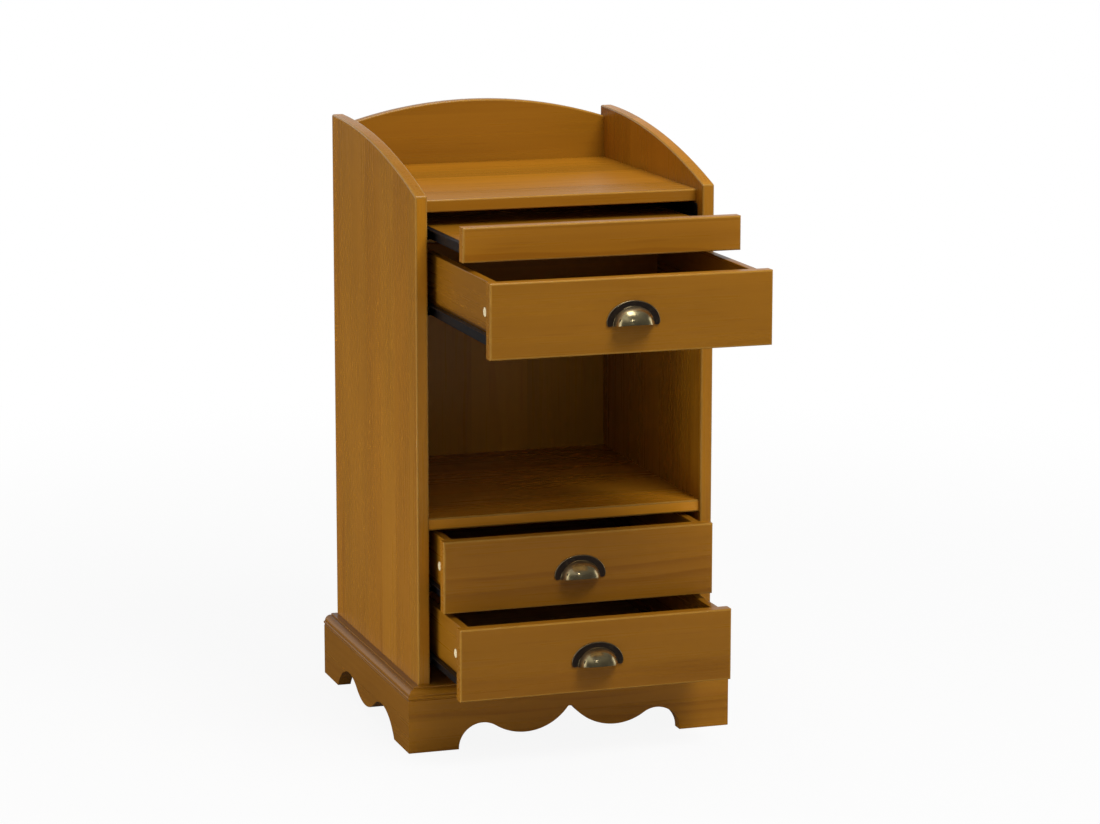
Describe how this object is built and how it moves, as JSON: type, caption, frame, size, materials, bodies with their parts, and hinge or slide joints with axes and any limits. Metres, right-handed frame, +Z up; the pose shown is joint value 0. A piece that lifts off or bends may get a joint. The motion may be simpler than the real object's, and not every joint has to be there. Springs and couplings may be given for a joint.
{
  "type": "hall chest with drawers and niche",
  "caption": "Narrow pine chest with scalloped plinth, arched back rail, pull-out tray, drawers with cup pulls on roller runners and an open niche.",
  "frame": {"origin": "on the floor, midway between the side panels and midway along their depth", "axes": "+Z up, +Y towards the back of the chest, +X to the right seen from the front"},
  "size_m": [0.494, 0.7621, 0.892],
  "materials": {
    "pine": "honey-coloured satin varnish on edge-glued pine",
    "pale_pine": "plain varnished board in the shade of the carcass",
    "black_steel": "black powder coat",
    "grey_nylon": "dark grey moulded nylon",
    "zinc": "zinc-plated steel",
    "aged_brass": "dark antique patina with brighter rims",
    "cream_plastic": "cream moulded plastic"
  },
  "bodies": {
    "carcass": {"left_side_panel": "pine", "right_side_panel": "pine", "top_board": "pine", "back_rail": "pine", "niche_shelf": "pine", "bottom_board": "pine", "front_apron": "pine", "left_apron": "pine", "right_apron": "pine", "back_panel": "pale_pine", "corner_blocks": "pale_pine", "carcass_screws": "zinc", "carcass_cam_fittings": "zinc", "runner_screws": "zinc", "tray_cabinet_runners": "black_steel", "drawer_1_cabinet_runners": "black_steel", "drawer_2_cabinet_runners": "black_steel", "drawer_3_cabinet_runners": "black_steel"},
    "tray": {"tray_board": "pine", "tray_lip": "pine", "tray_slides": "black_steel", "tray_fixings": "zinc"},
    "drawer_1": {"drawer_1_front": "pine", "drawer_1_left_side": "pine", "drawer_1_right_side": "pine", "drawer_1_back": "pine", "drawer_1_bottom": "pale_pine", "drawer_1_slides": "black_steel", "drawer_1_pull": "aged_brass", "drawer_1_screws": "zinc", "drawer_1_cam_fittings": "zinc", "drawer_1_cam_caps": "cream_plastic"},
    "drawer_2": {"drawer_2_front": "pine", "drawer_2_left_side": "pine", "drawer_2_right_side": "pine", "drawer_2_back": "pine", "drawer_2_bottom": "pale_pine", "drawer_2_slides": "black_steel", "drawer_2_pull": "aged_brass", "drawer_2_screws": "zinc", "drawer_2_cam_fittings": "zinc", "drawer_2_cam_caps": "cream_plastic"},
    "drawer_3": {"drawer_3_front": "pine", "drawer_3_left_side": "pine", "drawer_3_right_side": "pine", "drawer_3_back": "pine", "drawer_3_bottom": "pale_pine", "drawer_3_slides": "black_steel", "drawer_3_pull": "aged_brass", "drawer_3_screws": "zinc", "drawer_3_cam_fittings": "zinc", "drawer_3_cam_caps": "cream_plastic"},
    "tray_front_roller_pair": {"tray_front_rollers": "grey_nylon"},
    "tray_rear_roller_pair": {"tray_rear_rollers": "grey_nylon"},
    "drawer_1_front_roller_pair": {"drawer_1_front_rollers": "grey_nylon"},
    "drawer_1_rear_roller_pair": {"drawer_1_rear_rollers": "grey_nylon"},
    "drawer_2_front_roller_pair": {"drawer_2_front_rollers": "grey_nylon"},
    "drawer_2_rear_roller_pair": {"drawer_2_rear_rollers": "grey_nylon"},
    "drawer_3_front_roller_pair": {"drawer_3_front_rollers": "grey_nylon"},
    "drawer_3_rear_roller_pair": {"drawer_3_rear_rollers": "grey_nylon"}
  },
  "joints": [
    {"name": "tray_slide", "type": "slide", "parent": "carcass", "child": "tray", "axis": [0, -1, 0], "range_m": [-0.161, 0.139]},
    {"name": "tray_front_roller_turn", "type": "hinge", "parent": "carcass", "child": "tray_front_roller_pair", "pos_m": [0, -0.1934, 0.7495], "axis": [1, 0, 0], "continuous": true},
    {"name": "tray_rear_roller_turn", "type": "hinge", "parent": "tray", "child": "tray_rear_roller_pair", "pos_m": [0, 0.0194, 0.7502], "axis": [1, 0, 0], "continuous": true},
    {"name": "drawer_1_slide", "type": "slide", "parent": "carcass", "child": "drawer_1", "axis": [0, -1, 0], "range_m": [-0.284, 0.016]},
    {"name": "drawer_1_front_roller_turn", "type": "hinge", "parent": "carcass", "child": "drawer_1_front_roller_pair", "pos_m": [0, -0.1934, 0.6405], "axis": [1, 0, 0], "continuous": true},
    {"name": "drawer_1_rear_roller_turn", "type": "hinge", "parent": "drawer_1", "child": "drawer_1_rear_roller_pair", "pos_m": [0, -0.1036, 0.6412], "axis": [1, 0, 0], "continuous": true},
    {"name": "drawer_2_slide", "type": "slide", "parent": "carcass", "child": "drawer_2", "axis": [0, -1, 0], "range_m": [-0.062, 0.238]},
    {"name": "drawer_2_front_roller_turn", "type": "hinge", "parent": "carcass", "child": "drawer_2_front_roller_pair", "pos_m": [0, -0.1934, 0.2365], "axis": [1, 0, 0], "continuous": true},
    {"name": "drawer_2_rear_roller_turn", "type": "hinge", "parent": "drawer_2", "child": "drawer_2_rear_roller_pair", "pos_m": [0, 0.1184, 0.2372], "axis": [1, 0, 0], "continuous": true},
    {"name": "drawer_3_slide", "type": "slide", "parent": "carcass", "child": "drawer_3", "axis": [0, -1, 0], "range_m": [-0.14, 0.16]},
    {"name": "drawer_3_front_roller_turn", "type": "hinge", "parent": "carcass", "child": "drawer_3_front_roller_pair", "pos_m": [0, -0.1934, 0.127], "axis": [1, 0, 0], "continuous": true},
    {"name": "drawer_3_rear_roller_turn", "type": "hinge", "parent": "drawer_3", "child": "drawer_3_rear_roller_pair", "pos_m": [0, 0.0404, 0.1277], "axis": [1, 0, 0], "continuous": true}
  ],
  "couplings": [
    {"joint": "tray_front_roller_turn", "follows": "tray_slide", "rad_per_m": 133.33},
    {"joint": "tray_rear_roller_turn", "follows": "tray_slide", "rad_per_m": 116.28},
    {"joint": "drawer_1_front_roller_turn", "follows": "drawer_1_slide", "rad_per_m": 133.33},
    {"joint": "drawer_1_rear_roller_turn", "follows": "drawer_1_slide", "rad_per_m": 116.28},
    {"joint": "drawer_2_front_roller_turn", "follows": "drawer_2_slide", "rad_per_m": 133.33},
    {"joint": "drawer_2_rear_roller_turn", "follows": "drawer_2_slide", "rad_per_m": 116.28},
    {"joint": "drawer_3_front_roller_turn", "follows": "drawer_3_slide", "rad_per_m": 133.33},
    {"joint": "drawer_3_rear_roller_turn", "follows": "drawer_3_slide", "rad_per_m": 116.28}
  ]
}
